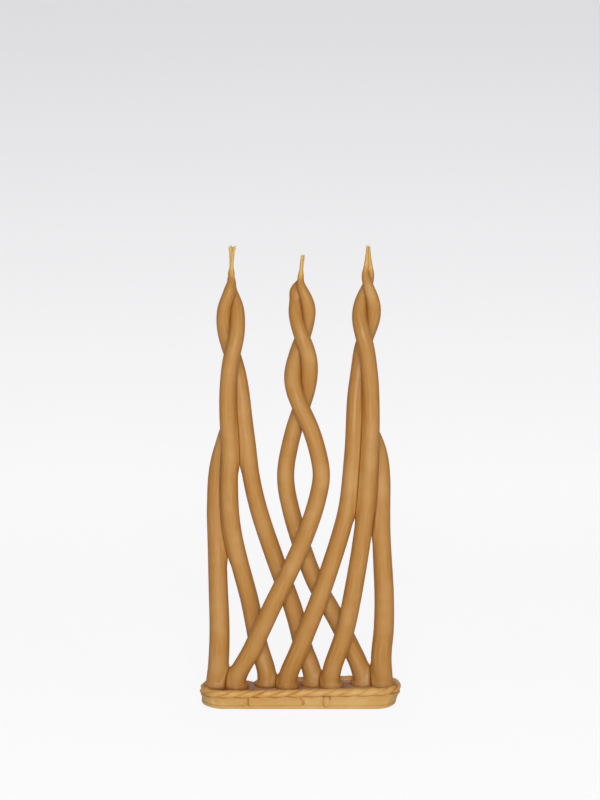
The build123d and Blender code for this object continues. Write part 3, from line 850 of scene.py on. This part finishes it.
laid = add(wick_yarn, "GeometryNodeSetPosition", {
    "Geometry": plies.outputs[0], "Offset": vectors(wick_yarn, "ADD", wound, loose)})
ply_ring = add(wick_yarn, "GeometryNodeCurvePrimitiveCircle", {"Resolution": 8, "Radius": given["Ply Radius"]})
yarn = add(wick_yarn, "GeometryNodeCurveToMesh", {
    "Curve": laid.outputs[0], "Profile Curve": ply_ring.outputs[0], "Fill Caps": True,
    "Scale": spread(wick_yarn, share, 0.8, 1.0, 1.0, 0.7)})
both = add(wick_yarn, "GeometryNodeJoinGeometry")
wick_yarn.links.new(core.outputs[0], both.inputs[0])
wick_yarn.links.new(yarn.outputs[0], both.inputs[0])
smoothed = add(wick_yarn, "GeometryNodeSetShadeSmooth", {"Geometry": both.outputs[0]})
end_tree(wick_yarn, given, made, smoothed.outputs[0])

yarn_length, yarn_points = 17 * MM, 60
wide_opening, small_opening = 1.0 * MM, 0.35 * MM
for number, middles in wick_lines.items():
    wick_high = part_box(f"wick_{number}")[1]
    last_step = middles[-1] - middles[-2]
    top = middles[-1] + last_step / last_step[2] * (wick_high.z - middles[-1][2])
    line = np.concatenate([middles, [top]])
    halves = np.append(wick_halves[number], wick_halves[number][-1])
    fine = np.linspace(line[-1][2] - yarn_length, line[-1][2], yarn_points)
    bare = np.stack([np.interp(fine, line[:, 2], line[:, axis]) for axis in range(3)], 1)
    bare_halves = np.interp(fine, line[:, 2], halves)
    wick = grow(
        f"wick_{number}_yarn", polyline(f"wick_{number}", line[:-1], False, thickness=halves[:-1]), wick_yarn,
        Plies=6, Opening=wide_opening if number in (3, 5) else small_opening, Seed=60 + number, Material=wick_cotton,
        **{"Bare Line": helper("bare_line", polyline("bare_line", bare, False, thickness=bare_halves)),
           "Lay Turns": 2.5, "Ply Radius": 0.3 * MM},
    )
    stand_for(wick, "wick_cotton", f"wick_{number}")

# The stage: a pale sweep of paper, level under the candle and rising behind it, with the light of large soft
# lamps. Painted shade greys the paper a little towards the top of the picture; the camera sees the paper
# mostly glowing with that tone, and it takes the candle's faint shadow.

sweep_front, sweep_back, sweep_bend, sweep_top, sweep_half = -2.2, 0.9, 0.5, 2.2, 3.0
sweep = [(y, 0.0) for y in np.linspace(sweep_front, sweep_back - sweep_bend, 12)]
sweep += [(sweep_back - sweep_bend + sweep_bend * math.sin(a), sweep_bend - sweep_bend * math.cos(a))
          for a in np.linspace(0.06, math.pi / 2, 24)]
sweep += [(sweep_back, z) for z in np.linspace(sweep_bend + 0.1, sweep_top, 8)]
paper_mesh = bpy.data.meshes.new("paper_sweep")
paper_mesh.from_pydata(
    [(x, y, z) for y, z in sweep for x in (-sweep_half, sweep_half)], [],
    [(2 * i, 2 * i + 1, 2 * i + 3, 2 * i + 2) for i in range(len(sweep) - 1)])
paper_mesh.polygons.foreach_set("use_smooth", [True] * len(paper_mesh.polygons))
paper = bpy.data.objects.new("paper_sweep", paper_mesh)
bpy.context.scene.collection.objects.link(paper)
paper_white = bpy.data.materials.new("paper_white")
paper_white.use_nodes = True
tree = paper_white.node_tree
shader = tree.nodes["Principled BSDF"]
settle(shader, {"Roughness": 0.9, "Specular IOR Level": 0.1})
place = add(tree, "ShaderNodeTexCoord").outputs["Object"]
height = add(tree, "ShaderNodeSeparateXYZ", {0: place}).outputs["Z"]
fibre = noise(tree, place, 6.0, 2.0)
# Painted shade: the paper is greyer higher up.
painted_top_shade = maths(tree, "ADD", spread(tree, height, 0.04, 0.54), maths(tree, "MULTIPLY", fibre, 0.02))
paper_tone = blend(tree, painted_top_shade, tone(252, 252, 253), tone(222, 222, 224))
tree.links.new(paper_tone, shader.inputs["Base Color"])
glow = add(tree, "ShaderNodeEmission", {"Color": paper_tone, "Strength": 1.08})
rays = add(tree, "ShaderNodeLightPath").outputs
lit = add(tree, "ShaderNodeMixShader", {
    0: maths(tree, "MULTIPLY", rays["Is Camera Ray"], 0.8), 1: shader.outputs[0], 2: glow.outputs[0]})
tree.links.new(lit.outputs[0], tree.nodes["Material Output"].inputs["Surface"])
paper_mesh.materials.append(paper_white)

world = bpy.data.worlds.new("studio_air")
bpy.context.scene.world = world
world.use_nodes = True
tree = world.node_tree
air = tree.nodes["Background"]
settle(air, {"Color": (1.0, 1.0, 1.0, 1.0), "Strength": 0.2})
backdrop = add(tree, "ShaderNodeBackground", {"Color": tone(236, 236, 238), "Strength": 1.0})
seen = add(tree, "ShaderNodeMixShader", {
    0: add(tree, "ShaderNodeLightPath").outputs["Is Camera Ray"], 1: air.outputs[0], 2: backdrop.outputs[0]})
tree.links.new(seen.outputs[0], tree.nodes["World Output"].inputs["Surface"])

for name, spot, aim, size, power in (
    ("key_box", (0.02, -1.6, 0.6), (0, 0, 0.08), 0.6, 15.0),
    ("side_box", (1.2, -1.0, 0.5), (0, 0, 0.12), 0.8, 1.2),
    ("top_box", (0.0, 0.1, 1.5), (0, 0, 0.0), 1.2, 3.0),
    ("low_card", (0.0, -0.4, 0.03), (0, 0, 0.03), 0.4, 0.5),
):
    lamp = bpy.data.lights.new(name, "AREA")
    lamp.size = size
    lamp.energy = power
    box = bpy.data.objects.new(name, lamp)
    box.location = spot
    box.rotation_euler = (Vector(aim) - Vector(spot)).to_track_quat("-Z", "Y").to_euler()
    bpy.context.scene.collection.objects.link(box)

# The camera: near the height of the candle's tops, square to its front and turned down a little,
# so that the poured wax behind the front rim is just seen.

look_down = 4.3
camera_data = bpy.data.cameras.new("front_view")
camera_data.sensor_width = 36.0
camera_data.lens = 66.62
camera = bpy.data.objects.new("front_view", camera_data)
camera.location = (-0.0003, -0.800, 0.227)
camera.rotation_euler = (math.radians(90 - look_down), 0, 0)
bpy.context.scene.collection.objects.link(camera)
bpy.context.scene.camera = camera
bpy.context.scene.view_settings.view_transform = "Standard"
